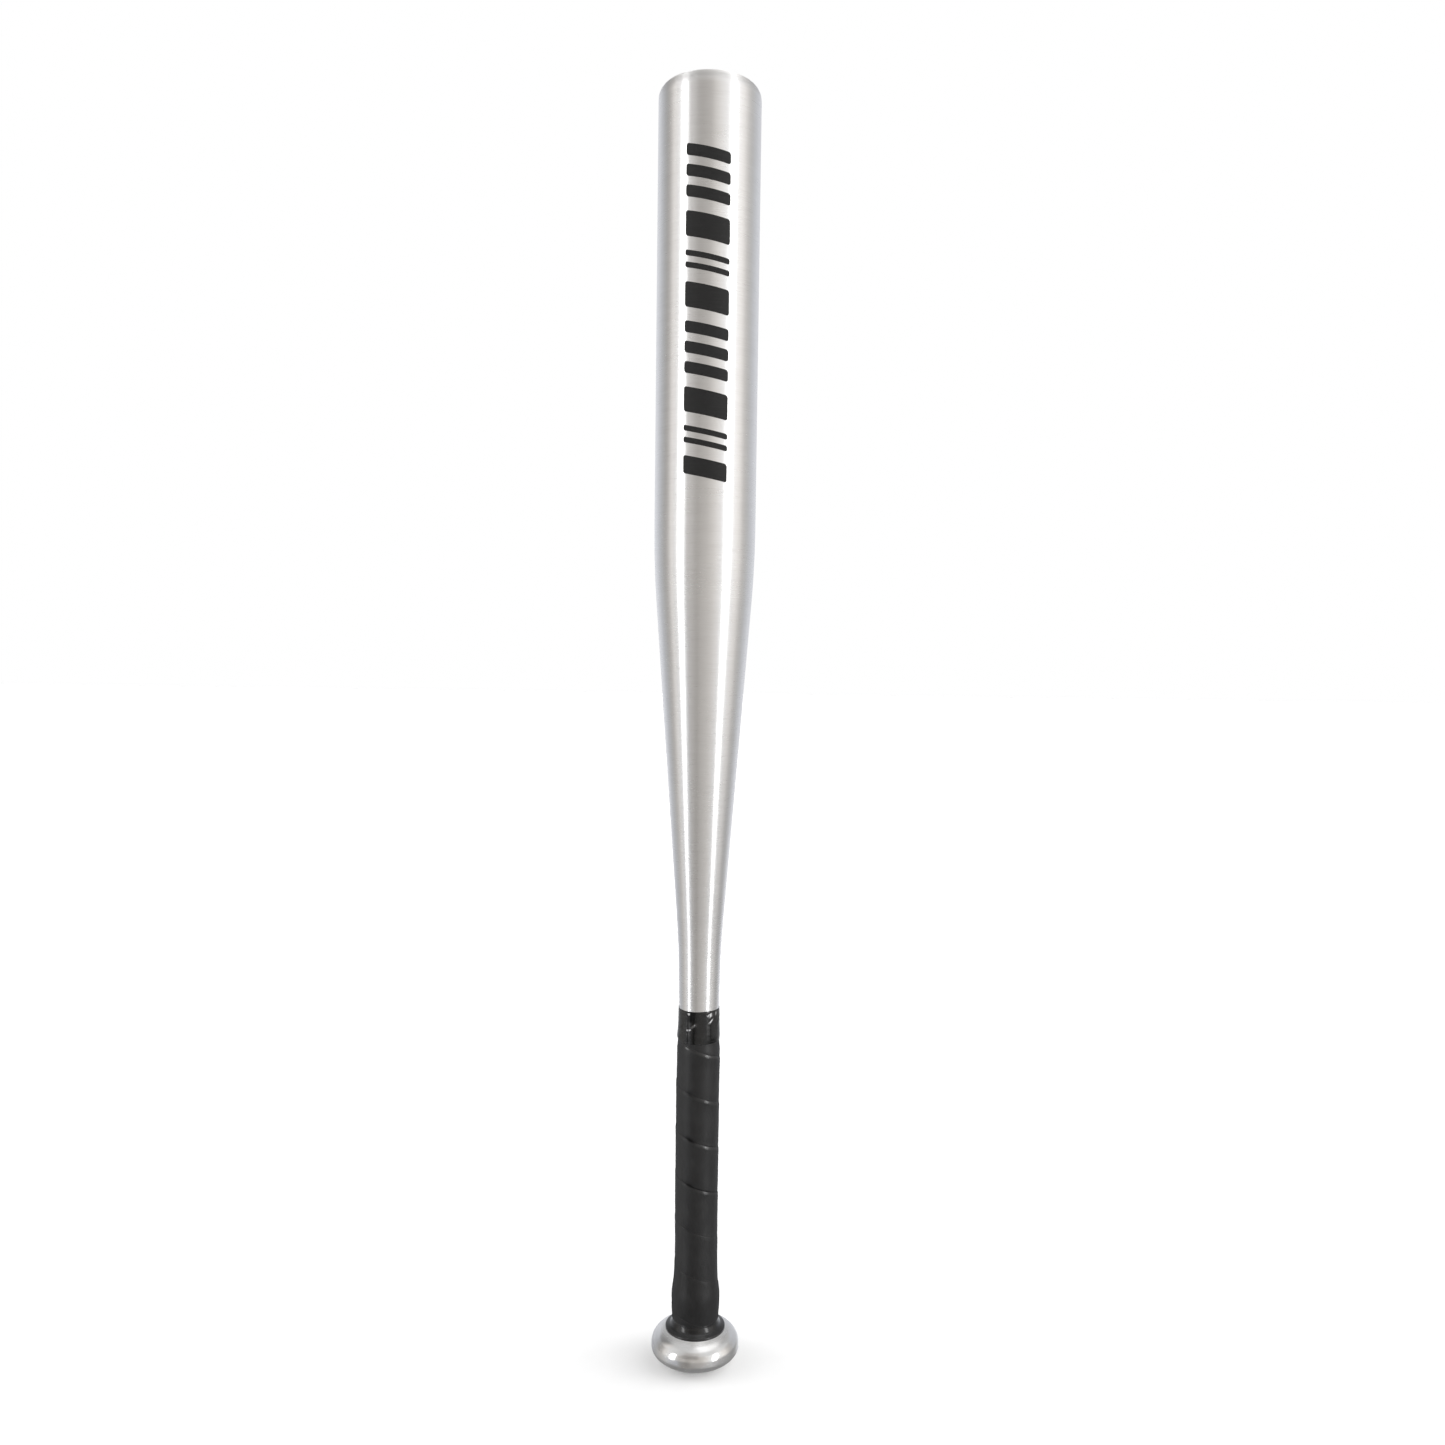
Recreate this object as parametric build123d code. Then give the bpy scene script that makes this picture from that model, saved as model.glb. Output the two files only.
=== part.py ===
from build123d import *
import math
import os

# One-piece aluminium baseball bat, standing on its knob.
# Frame: origin at the centre of the knob's base, +Z along the bat to the barrel end,
# millimetres. Every piece is a body of revolution about Z.

# ---------------------------------------------------------------- bat tube sizes
LENGTH = 812.8            # overall length, 32 in
BARREL_R = 31.75          # 2 1/2 in barrel
BARREL_WALL = 1.9
CONE_TOP_Z = 519.8        # corner between the barrel and the cone, before blending
CONE_TOP_BLEND = 615.0
CONE_FOOT_Z = 276.6       # corner between the cone and the handle, before blending
CONE_FOOT_R = 13.56
CONE_FOOT_WALL = 2.5
CONE_FOOT_BLEND = 510.0
HANDLE_TAPER_Z = 204.0    # below this the handle is a plain cylinder
HANDLE_TAPER_BLEND = 600.0
HANDLE_R = 12.2
HANDLE_WALL = 2.6
BORE_CONE_TOP_Z = CONE_TOP_Z + 1.2
BORE_CONE_FOOT_Z = CONE_FOOT_Z - 1.6
BORE_CONE_TOP_BLEND = 600.0
BORE_HANDLE_BLEND = 500.0  # at the cone's foot and at the handle's taper
SHOULDER_R = 9.5          # rolled shoulder of the barrel end
BORE_SHOULDER_R = 7.0

END_OPENING_R = 16.0      # opening left by the rolled-in end
END_SEAT_R = 20.6         # shallow seat for the end plug's flange
END_SEAT_Z = LENGTH - 1.2
END_LIP_Z = END_SEAT_Z - 2.0  # underside of the rolled-in lip

# ---------------------------------------------------------------- gaps between pieces
HANDLE_GAP = 0.05         # handle to the knob, collar and underlay around it
LAYER_GAP = 0.03          # between wound layers
PLUG_NECK_GAP = 0.05      # around each plug's neck
PLUG_SEAT_GAP = 0.02      # under each plug's flange, and above the end plug's barb

# ---------------------------------------------------------------- knob and weld sizes
KNOB_R = 28.65            # largest radius of the knob
KNOB_EQUATOR_Z = 10.23
CROWN_CENTRE_R = 9.67     # superellipse of the crown: centre, height and power
CROWN_RISE = 12.9
CROWN_POWER = 2.57
KNOB_TOP_R = 18.6         # radius where the crown meets the flat top, under the collar
UNDER_HALF = 22.51        # half width of the underside's ellipse
UNDER_END_DEG = 36        # angle below the equator where the ellipse gives way to the foot
UNDER_STEP_DEG = 6
KNOB_BASE_R = 12.0        # flat that the bat stands on
KNOB_SOCKET_R = HANDLE_R + HANDLE_GAP
KNOB_SOCKET_FLOOR_Z = 7.0
VENT_R = 5.0
VENT_SEAT_R = 8.2
VENT_SEAT_DEPTH = 1.4

WELD_LEG = 3.0

# ---------------------------------------------------------------- collar sizes
COLLAR_BORE_R = HANDLE_R + HANDLE_GAP
COLLAR_LIP_R = 19.5
COLLAR_LIP_TOP_Z = 23.8
COLLAR_NECK_R = 14.95     # shoulder that the grip tape butts against
COLLAR_NECK_Z = 29.3
COLLAR_TOP_Z = 58.2       # feather edge of the sleeve under the grip

# Concave neck of the collar, upwards from the lip: (radius, height)
NECK = [(17.6, 24.35), (16.35, 25.1), (15.55, 26.7),
        (COLLAR_NECK_R + 0.05, COLLAR_NECK_Z - 0.3)]
# Outside of the collar's sleeve, upwards from the shoulder: (radius, height)
SLEEVE = [(13.66, COLLAR_NECK_Z), (13.70, 32.5), (13.90, 37.6), (13.98, 43.0),
          (13.64, 48.4), (12.98, 53.9), (12.50, COLLAR_TOP_Z)]

# ---------------------------------------------------------------- grip sizes
GRIP_R = 13.68            # outside of the wound grip
GRIP_BOTTOM_Z = 29.4
GRIP_STRAIGHT_Z = 206.0   # top of the grip's plain cylinder
GRIP_THIN_R = 13.25       # pulled thin from here up
GRIP_THIN_Z = 213.0
GRIP_TOP_R = 13.15
GRIP_TOP_Z = 221.2
TAPE_T = 1.2              # grip tape thickness
UNDERLAY_T = 0.2          # underlay thickness over the handle
UNDERLAY_STEP_Z = 60.4    # the underlay leaves the handle for the sleeve below this
UNDERLAY_TOP_Z = 218.0

# Outside of the grip where it swells over the sleeve: (radius, height)
SWELL = [(14.98, GRIP_BOTTOM_Z), (15.06, 32.5), (15.31, 37.6), (15.40, 43.0),
         (15.06, 48.4), (14.40, 53.9), (14.03, 59.3), (13.85, 64.7),
         (13.74, 70.0), (GRIP_R, 80.0)]


# ---------------------------------------------------------------- helpers
def point(r, z):
    """Point of a half profile: radius along X, height along Z."""
    return Vector(r, 0, z)


def chain(corners, closed=False):
    """Lines through corners (r, z, fillet radius), each corner rounded tangentially.

    The fillet radius may be left out for a sharp corner.
    """
    count = len(corners)
    pts = [point(*corner[:2]) for corner in corners]
    entry, leave, middle = list(pts), list(pts), [None] * count
    for i, corner in enumerate(corners):
        radius = corner[2] if len(corner) > 2 else 0.0
        if radius <= 0 or not (closed or 0 < i < count - 1):
            continue
        back = (pts[i - 1] - pts[i]).normalized()
        ahead = (pts[(i + 1) % count] - pts[i]).normalized()
        half = math.acos(max(-1.0, min(1.0, back.dot(ahead)))) / 2
        reach = radius / math.tan(half)
        entry[i] = pts[i] + back * reach
        leave[i] = pts[i] + ahead * reach
        bisector = (back + ahead).normalized()
        middle[i] = pts[i] + bisector * (radius / math.sin(half) - radius)
    edges = []
    for i in range(count):
        if middle[i] is not None:
            edges.append(Edge.make_three_point_arc(entry[i], middle[i], leave[i]))
        if i == count - 1 and not closed:
            break
        begin, finish = leave[i], entry[(i + 1) % count]
        if (finish - begin).length > 1e-6:
            edges.append(Edge.make_line(begin, finish))
    return edges


def smooth(points, start, end):
    """Smooth curve through (r, z) points, with end directions (dr, dz)."""
    tangents = [point(*start).normalized(), point(*end).normalized()]
    return Edge.make_spline([point(*p) for p in points], tangents=tangents)


def line(begin, finish):
    return Edge.make_line(point(*begin), point(*finish))


def lathe(edges):
    """Full turn of a closed half profile about Z."""
    return Solid.revolve(Face(Wire(edges)), 360, Axis.Z)


def lathe_corners(corners):
    """Full turn of the closed chain through the corners."""
    return lathe(chain(corners, closed=True))


def widen(points, step):
    """The same (r, z) points with every radius changed by step."""
    return [(r + step, z) for r, z in points]


def handle_r(z):
    """Outside radius of the handle, on its gentle taper above HANDLE_TAPER_Z."""
    slope = (CONE_FOOT_R - HANDLE_R) / (CONE_FOOT_Z - HANDLE_TAPER_Z)
    return HANDLE_R + max(0.0, z - HANDLE_TAPER_Z) * slope


def crown_z(r):
    """Height of the knob's crown at radius r."""
    u = (r - CROWN_CENTRE_R) / (KNOB_R - CROWN_CENTRE_R)
    return KNOB_EQUATOR_Z + CROWN_RISE * max(0.0, 1 - u ** CROWN_POWER) ** (1 / CROWN_POWER)


KNOB_TOP_Z = crown_z(KNOB_TOP_R)


# ---------------------------------------------------------------- barrel and handle
def make_bat_tube():
    """Straight barrel, cone and handle swaged from one tube.

    The wall thickens as the diameter shrinks. The barrel end is rolled in over a
    round shoulder to a lip that leaves an opening for the end plug.
    """
    barrel_bore_r = BARREL_R - BARREL_WALL
    handle_bore_r = HANDLE_R - HANDLE_WALL
    return lathe_corners([
        # outside, upwards
        (HANDLE_R, KNOB_SOCKET_FLOOR_Z, 0.5),
        (HANDLE_R, HANDLE_TAPER_Z, HANDLE_TAPER_BLEND),
        (CONE_FOOT_R, CONE_FOOT_Z, CONE_FOOT_BLEND),
        (BARREL_R, CONE_TOP_Z, CONE_TOP_BLEND),
        (BARREL_R, LENGTH, SHOULDER_R),
        # seat and opening
        (END_SEAT_R, LENGTH, 0.35),
        (END_SEAT_R, END_SEAT_Z, 0.2),
        (END_OPENING_R, END_SEAT_Z, 0.4),
        (END_OPENING_R, END_LIP_Z, 0.4),
        # bore, downwards
        (barrel_bore_r, END_LIP_Z, BORE_SHOULDER_R),
        (barrel_bore_r, BORE_CONE_TOP_Z, BORE_CONE_TOP_BLEND),
        (CONE_FOOT_R - CONE_FOOT_WALL, BORE_CONE_FOOT_Z, BORE_HANDLE_BLEND),
        (handle_bore_r, HANDLE_TAPER_Z, BORE_HANDLE_BLEND),
        (handle_bore_r, KNOB_SOCKET_FLOOR_Z, 0.3),
    ])


def make_end_plug():
    """Flange in the seat, neck through the opening, barbed skirt behind the lip.

    Hollow underneath. The face has a raised rim and a low round boss.
    """
    boss_z = LENGTH - 0.45
    face_z = LENGTH - 0.95
    rim_z = LENGTH - 0.2
    flange_r = END_SEAT_R - 0.15
    flange_z = END_SEAT_Z + PLUG_SEAT_GAP
    neck_r = END_OPENING_R - PLUG_NECK_GAP
    barb_r = 18.2
    barb_z = END_LIP_Z - PLUG_SEAT_GAP
    skirt_z = END_LIP_Z - 6.4
    hollow_r = 13.0
    hollow_z = END_LIP_Z - 0.8
    return lathe_corners([
        (0.0, boss_z),
        (6.2, boss_z, 0.4),
        (7.0, face_z, 0.4),
        (14.6, face_z, 0.4),
        (15.5, rim_z, 0.5),
        (flange_r, rim_z, 0.5),
        (flange_r, flange_z, 0.2),
        (neck_r, flange_z),
        (neck_r, barb_z),
        (barb_r, barb_z, 0.3),
        (barb_r, END_LIP_Z - 1.0, 0.5),
        (15.2, skirt_z, 0.5),
        (hollow_r, skirt_z, 0.5),
        (hollow_r, hollow_z, 1.0),
        (0.0, hollow_z),
    ])


def make_foam_damper():
    """Light foam slug pressed into the barrel behind the end plug."""
    radius, bottom_z, top_z, edge_r = 29.6, 771.0, 801.0, 2.0
    return lathe_corners([
        (0.0, bottom_z),
        (radius, bottom_z, edge_r),
        (radius, top_z, edge_r),
        (0.0, top_z),
    ])


# ---------------------------------------------------------------- knob end
def knob_underside():
    """Points from the equator down an ellipse, then along a parabola to the flat."""
    centre_r = KNOB_R - UNDER_HALF
    angles = [math.radians(a) for a in range(0, UNDER_END_DEG + 1, UNDER_STEP_DEG)]
    ellipse = [(centre_r + UNDER_HALF * math.cos(t), KNOB_EQUATOR_Z * (1 - math.sin(t)))
               for t in angles]
    start_r, start_z = ellipse[-1]
    # The ellipse's end tangent meets the ground at knee_r, the parabola's control point.
    slope = (KNOB_EQUATOR_Z / UNDER_HALF) / math.tan(math.radians(UNDER_END_DEG))
    knee_r = start_r - start_z / slope
    foot = [((1 - s) ** 2 * start_r + 2 * s * (1 - s) * knee_r + s * s * KNOB_BASE_R,
             (1 - s) ** 2 * start_z)
            for s in (0.25, 0.5, 0.75, 1.0)]
    return ellipse + foot


def make_knob():
    """Cast ring with a domed crown that slopes in under the collar's lip.

    The fuller underside runs out into the standing flat. Inside are a socket for the
    handle and a vent hole with a seat for its plug.
    """
    crown_radii = (KNOB_R, 28.5, 28.0, 27.1, 25.8, 24.0, 22.0, 20.2, KNOB_TOP_R)
    crown = [(r, crown_z(r)) for r in crown_radii]
    return lathe([
        smooth(crown, (0, 1), (-1, 0.235)),
        *chain([
            (KNOB_TOP_R, KNOB_TOP_Z),
            (KNOB_SOCKET_R, KNOB_TOP_Z, 0.4),
            (KNOB_SOCKET_R, KNOB_SOCKET_FLOOR_Z, 0.3),
            (VENT_R, KNOB_SOCKET_FLOOR_Z, 0.3),
            (VENT_R, VENT_SEAT_DEPTH),
            (VENT_SEAT_R, VENT_SEAT_DEPTH),
            (VENT_SEAT_R, 0.0, 0.3),
            (KNOB_BASE_R, 0.0),
        ]),
        smooth(knob_underside()[::-1], (1, 0), (0, 1)),
    ])


def make_knob_weld():
    """Slightly crowned fillet bead between the handle and the knob's top."""
    inner_r = HANDLE_R + 0.02
    bulge = WELD_LEG * 0.58   # above 0.5 the bead stands proud of a flat bevel
    root = (inner_r, KNOB_TOP_Z + 0.01)
    foot = (inner_r + WELD_LEG, KNOB_TOP_Z + 0.01)
    middle = (inner_r + bulge, KNOB_TOP_Z + bulge)
    head = (inner_r, KNOB_TOP_Z + WELD_LEG)
    return lathe([
        line(root, foot),
        Edge.make_three_point_arc(point(*foot), point(*middle), point(*head)),
        line(head, root),
    ])


def make_knob_plug():
    """Round head in the vent seat, barbed shank through the vent hole."""
    head_r = VENT_SEAT_R - 0.2
    head_bottom_z = 0.3
    head_top_z = VENT_SEAT_DEPTH - PLUG_SEAT_GAP
    shank_r = VENT_R - PLUG_NECK_GAP
    barb_z = KNOB_SOCKET_FLOOR_Z + 0.1
    tip_z = KNOB_SOCKET_FLOOR_Z + 2.0
    hollow_r = 3.2
    hollow_z = VENT_SEAT_DEPTH + 0.6
    return lathe_corners([
        (0.0, head_bottom_z),
        (head_r, head_bottom_z, 0.5),
        (head_r, head_top_z, 0.1),
        (shank_r, head_top_z),
        (shank_r, barb_z),
        (VENT_R + 0.5, barb_z, 0.1),
        (VENT_R - 0.4, tip_z, 0.3),
        (hollow_r, tip_z, 0.3),
        (hollow_r, hollow_z, 0.3),
        (0.0, hollow_z),
    ])


def make_knob_collar():
    """Moulded ring: thin lip on the knob's top, concave neck, sleeve under the grip.

    The neck ends at the shoulder that the grip tape butts against, and the sleeve at
    a feather edge. The bore is relieved over the weld.
    """
    bottom_z = KNOB_TOP_Z + 0.03
    shoulder = (COLLAR_NECK_R, COLLAR_NECK_Z)
    bore_top = (COLLAR_BORE_R, COLLAR_TOP_Z)
    return lathe([
        *chain([
            bore_top,
            (COLLAR_BORE_R, KNOB_TOP_Z + WELD_LEG + 0.9),
            (COLLAR_BORE_R + WELD_LEG + 1.1, bottom_z),
            (KNOB_TOP_R, bottom_z),
            (COLLAR_LIP_R, crown_z(COLLAR_LIP_R) + 0.04, 0.12),
            (COLLAR_LIP_R, COLLAR_LIP_TOP_Z, 0.55),
            NECK[0],
        ]),
        smooth(NECK, (-1, 0.24), (-0.08, 1)),
        line(NECK[-1], shoulder),
        line(shoulder, SLEEVE[0]),
        smooth(SLEEVE, (0, 1), (-0.12, 1)),
        line(SLEEVE[-1], bore_top),
    ])


# ---------------------------------------------------------------- grip layers
def make_grip_underlay():
    """Adhesive underlay, from the collar's sleeve to just below the grip's top edge."""
    outside = widen(SWELL, -TAPE_T)
    inside = widen(SLEEVE, HANDLE_GAP)
    inside[0] = (inside[0][0], GRIP_BOTTOM_Z)
    inner_gap = HANDLE_GAP
    outer_gap = HANDLE_GAP + UNDERLAY_T
    return lathe([
        smooth(outside, (0.01, 1), (0, 1)),
        *chain([
            outside[-1],
            (HANDLE_R + outer_gap, HANDLE_TAPER_Z),
            (handle_r(UNDERLAY_TOP_Z) + outer_gap, UNDERLAY_TOP_Z),
            (handle_r(UNDERLAY_TOP_Z) + inner_gap, UNDERLAY_TOP_Z),
            (HANDLE_R + inner_gap, HANDLE_TAPER_Z),
            (HANDLE_R + inner_gap, UNDERLAY_STEP_Z),
            inside[-1],
        ]),
        smooth(inside[::-1], (0.12, -1), (0, -1)),
        line(inside[0], outside[0]),
    ])


def make_grip_tape():
    """The wound strip as one closed sleeve.

    It swells over the collar's sleeve and is pulled thin under the finishing tape.
    """
    inside = widen(SWELL, LAYER_GAP - TAPE_T)
    inner_gap = HANDLE_GAP + UNDERLAY_T + LAYER_GAP
    return lathe([
        smooth(SWELL, (0.01, 1), (0, 1)),
        *chain([
            SWELL[-1],
            (GRIP_R, GRIP_STRAIGHT_Z, 20.0),
            (GRIP_THIN_R, GRIP_THIN_Z, 10.0),
            (GRIP_TOP_R, GRIP_TOP_Z),
            (handle_r(GRIP_TOP_Z) + inner_gap, GRIP_TOP_Z),
            (HANDLE_R + inner_gap, HANDLE_TAPER_Z),
            inside[-1],
        ]),
        smooth(inside[::-1], (0, -1), (-0.01, -1)),
        line(inside[0], SWELL[0]),
    ])


def make_grip_finish_tape():
    """Vinyl tape over the grip's top edge and the bare handle above it."""
    bottom_z, top_z = 214.0, 235.2
    bend_z, landing_z = 220.6, 224.0   # the outside slopes down between these
    step_z = GRIP_TOP_Z + 0.05
    outer_gap = LAYER_GAP + 0.18
    return lathe_corners([
        (GRIP_THIN_R + LAYER_GAP, bottom_z),
        (GRIP_THIN_R + outer_gap, bottom_z),
        (GRIP_TOP_R + outer_gap, bend_z, 3.0),
        (handle_r(landing_z) + outer_gap, landing_z, 3.0),
        (handle_r(top_z) + outer_gap, top_z),
        (handle_r(top_z) + LAYER_GAP, top_z),
        (handle_r(step_z) + LAYER_GAP, step_z),
        (GRIP_TOP_R + LAYER_GAP, step_z),
    ])


# ---------------------------------------------------------------- output
pieces = {
    "bat_tube": make_bat_tube(),
    "end_plug": make_end_plug(),
    "foam_damper": make_foam_damper(),
    "knob": make_knob(),
    "knob_weld": make_knob_weld(),
    "knob_plug": make_knob_plug(),
    "knob_collar": make_knob_collar(),
    "grip_underlay": make_grip_underlay(),
    "grip_tape": make_grip_tape(),
    "grip_finish_tape": make_grip_finish_tape(),
}

os.makedirs("parts", exist_ok=True)
for name, shape in pieces.items():
    shape.label = name
    export_step(shape, f"parts/{name}.step")
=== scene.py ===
"""Metal bat standing upright on a pale studio floor, knob down.

The axis is Z and the front, with the printed bars, faces -Y. Azimuths are measured from
the front towards +X. Modelling lengths are in millimetres, shader lengths in metres.
"""
import math
from collections import namedtuple
from functools import cached_property

import bpy
import numpy as np
from mathutils import Matrix, Vector, noise


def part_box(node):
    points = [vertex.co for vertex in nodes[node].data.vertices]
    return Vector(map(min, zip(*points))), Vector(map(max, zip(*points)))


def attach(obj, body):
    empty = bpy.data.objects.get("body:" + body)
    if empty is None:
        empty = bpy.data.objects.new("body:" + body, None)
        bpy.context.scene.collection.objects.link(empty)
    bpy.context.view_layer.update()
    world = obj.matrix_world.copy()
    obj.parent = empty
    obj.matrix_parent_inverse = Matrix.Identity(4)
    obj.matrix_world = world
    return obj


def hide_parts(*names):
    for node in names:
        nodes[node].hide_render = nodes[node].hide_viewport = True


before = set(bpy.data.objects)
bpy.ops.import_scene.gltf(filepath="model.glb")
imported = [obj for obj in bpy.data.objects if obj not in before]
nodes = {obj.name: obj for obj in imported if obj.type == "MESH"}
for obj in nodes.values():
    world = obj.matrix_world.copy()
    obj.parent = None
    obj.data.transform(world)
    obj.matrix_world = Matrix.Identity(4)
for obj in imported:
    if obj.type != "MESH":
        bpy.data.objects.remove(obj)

MM = 0.001
TAU = 2 * math.pi
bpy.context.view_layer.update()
scene = bpy.context.scene

_, tube_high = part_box("bat_tube")
BARREL_R = tube_high.x / MM
grip_low, grip_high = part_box("grip_tape")
GRIP_Z0, GRIP_Z1 = grip_low.z / MM, grip_high.z / MM

# Winding of the grip's strip
PITCH, LAP = 30.0, 3.2
WIDTH = PITCH + LAP
SEAM_Z = 120.8                       # height of one seam at the front
TOP_EDGE_AT_0 = SEAM_Z + 4 * PITCH   # top edge of the strip where its turn angle is 0


# ------------------------------------------------------------------ curves and noise
def smoothstep(x, start, end):
    t = min(1.0, max(0.0, (x - start) / (end - start)))
    return t * t * (3 - 2 * t)


def plateau(x, rise, fall):
    """1 between two smooth ramps, each given as (start, end), and 0 outside them."""
    return smoothstep(x, *rise) * (1 - smoothstep(x, *fall))


def bell(x, width):
    return math.exp(-(x / width) ** 2)


def interp(x, table):
    """Straight-line reading of a table of (x, value)."""
    return float(np.interp(x, [row[0] for row in table], [row[1] for row in table]))


def wander(x, y, seed):
    """Smooth noise, about -1..1."""
    return noise.noise(Vector((x, y, seed * 17.3)))


def around(azimuth, z, seed, turn_scale, z_scale):
    """Smooth noise that joins up round the handle."""
    return noise.noise(Vector((math.cos(azimuth) * turn_scale,
                               math.sin(azimuth) * turn_scale,
                               z * z_scale + seed * 31.7)))


def degrees_from(azimuth, degrees):
    """Degrees from the given angle to the azimuth (radians), -180..180."""
    return (math.degrees(azimuth) - degrees + 180.0) % 360.0 - 180.0


# A small flat facet pulled into a round surface: azimuth in degrees, height, how far its
# normal leans sideways and upwards in degrees, half length, half width, gloss.
Facet = namedtuple("Facet", "azimuth z lean_side lean_up half_long half_wide gloss")


def facet_at(azimuth, z, radius, facet):
    """The height a facet adds at a point and the gloss it has there."""
    side = math.radians(degrees_from(azimuth, facet.azimuth)) * radius
    rise = z - facet.z
    if abs(side) > 6 or abs(rise) > 6:
        return 0.0, 0.0
    slope_side = math.tan(math.radians(facet.lean_side))
    slope_up = math.tan(math.radians(facet.lean_up))
    slope = math.hypot(slope_side, slope_up)
    across = (side * slope_side + rise * slope_up) / slope
    along = (rise * slope_side - side * slope_up) / slope
    window = math.exp(-(across / facet.half_wide) ** 4 - (along / facet.half_long) ** 4)
    return window * (side * side / (2 * radius) - slope * across), facet.gloss * window


# ------------------------------------------------------------------ meshes
def place(azimuth, r, z):
    """Point in metres at an azimuth in radians and a radius and height in mm."""
    return (r * math.sin(azimuth) * MM, -r * math.cos(azimuth) * MM, z * MM)


def add_mesh(name, verts, faces, sharp_deg, marks=None):
    """Smooth-shaded object. marks maps an attribute's name to a value for each point."""
    me = bpy.data.meshes.new(name)
    me.from_pydata(verts, [], faces)
    me.validate()
    for key, values in (marks or {}).items():
        me.attributes.new(key, "FLOAT", "POINT").data.foreach_set("value", values)
    me.polygons.foreach_set("use_smooth", [True] * len(me.polygons))
    ob = bpy.data.objects.new(name, me)
    scene.collection.objects.link(ob)
    me.set_sharp_from_angle(angle=math.radians(sharp_deg))
    me.update()
    return ob


def join_rings(rings, first=0):
    """Faces that join closed rings of equal length in order."""
    n = len(rings[0])
    faces = []
    for i in range(len(rings) - 1):
        a, b = first + i * n, first + (i + 1) * n
        for j in range(n):
            k = (j + 1) % n
            faces.append((a + j, a + k, b + k, b + j))
    return faces


def solid_of_rings(name, rings, sharp_deg, marks):
    """Closed solid through rings of points, capped at the first and the last."""
    n = len(rings[0])
    last = (len(rings) - 1) * n
    faces = join_rings(rings)
    faces.append(tuple(reversed(range(n))))
    faces.append(tuple(last + j for j in range(n)))
    return add_mesh(name, [p for ring in rings for p in ring], faces, sharp_deg, marks)


# ------------------------------------------------------------------ shader building
class Value:
    """Output of a shader node; arithmetic on it adds Math nodes."""

    def __init__(self, graph, socket):
        self.graph, self.socket = graph, socket

    def __add__(self, other):
        return self.graph.math("ADD", self, other)

    def __radd__(self, other):
        return self.graph.math("ADD", other, self)

    def __sub__(self, other):
        return self.graph.math("SUBTRACT", self, other)

    def __rsub__(self, other):
        return self.graph.math("SUBTRACT", other, self)

    def __mul__(self, other):
        return self.graph.math("MULTIPLY", self, other)

    def __truediv__(self, other):
        return self.graph.math("DIVIDE", self, other)


def grey(level):
    return (level, level, level)


def opaque(colour):
    return colour if isinstance(colour, Value) else (*colour, 1.0)


class Graph:
    """Small builder for node trees."""

    def __init__(self, tree):
        self.tree = tree
        tree.nodes.clear()

    def feed(self, socket, value):
        if isinstance(value, Value):
            self.tree.links.new(value.socket, socket)
        else:
            socket.default_value = value

    def add(self, kind, inputs=None, **props):
        node = self.tree.nodes.new(kind)
        for name, prop in props.items():
            setattr(node, name, prop)
        for key, value in (inputs or {}).items():
            self.feed(node.inputs[key], value)
        return node

    def value(self, kind, output=0, inputs=None, **props):
        return Value(self, self.add(kind, inputs, **props).outputs[output])

    def math(self, operation, a, b=0.0):
        return self.value("ShaderNodeMath", inputs={0: a, 1: b}, operation=operation)

    def vector_math(self, operation, inputs):
        return self.value("ShaderNodeVectorMath", inputs=inputs, operation=operation)

    def split(self, vector):
        node = self.add("ShaderNodeSeparateXYZ", {0: vector})
        return [Value(self, socket) for socket in node.outputs]

    def combine(self, x, y, z):
        return self.value("ShaderNodeCombineXYZ", inputs={0: x, 1: y, 2: z})

    def remap(self, value, over, to=(0.0, 1.0)):
        """Smooth clamped step between the two values of `to` as value crosses `over`."""
        return self.value("ShaderNodeMapRange", "Result", {
            "Value": value, "From Min": over[0], "From Max": over[1],
            "To Min": to[0], "To Max": to[1]}, interpolation_type="SMOOTHSTEP")

    def band(self, value, rise, fall):
        return self.remap(value, rise) * self.remap(value, fall, to=(1.0, 0.0))

    def ramp(self, value, stops):
        """Colour ramp through stops of (position, colour)."""
        node = self.add("ShaderNodeValToRGB", {0: value})
        elements = node.color_ramp.elements
        while len(elements) > 1:
            elements.remove(elements[-1])
        elements[0].position = stops[0][0]
        elements[0].color = opaque(stops[0][1])
        for position, colour in stops[1:]:
            elements.new(position).color = opaque(colour)
        return Value(self, node.outputs[0])

    def mix(self, factor, a, b):
        return self.value("ShaderNodeMix", 2, {0: factor, 6: opaque(a), 7: opaque(b)},
                          data_type="RGBA")

    def noise(self, vector, scale, detail=2.0, rough=0.5, output="Fac"):
        return self.value("ShaderNodeTexNoise", output, {
            "Vector": vector, "Scale": scale, "Detail": detail, "Roughness": rough})

    def bump(self, height, distance, strength):
        return self.value("ShaderNodeBump", inputs={
            "Strength": strength, "Distance": distance, "Height": height})


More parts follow.
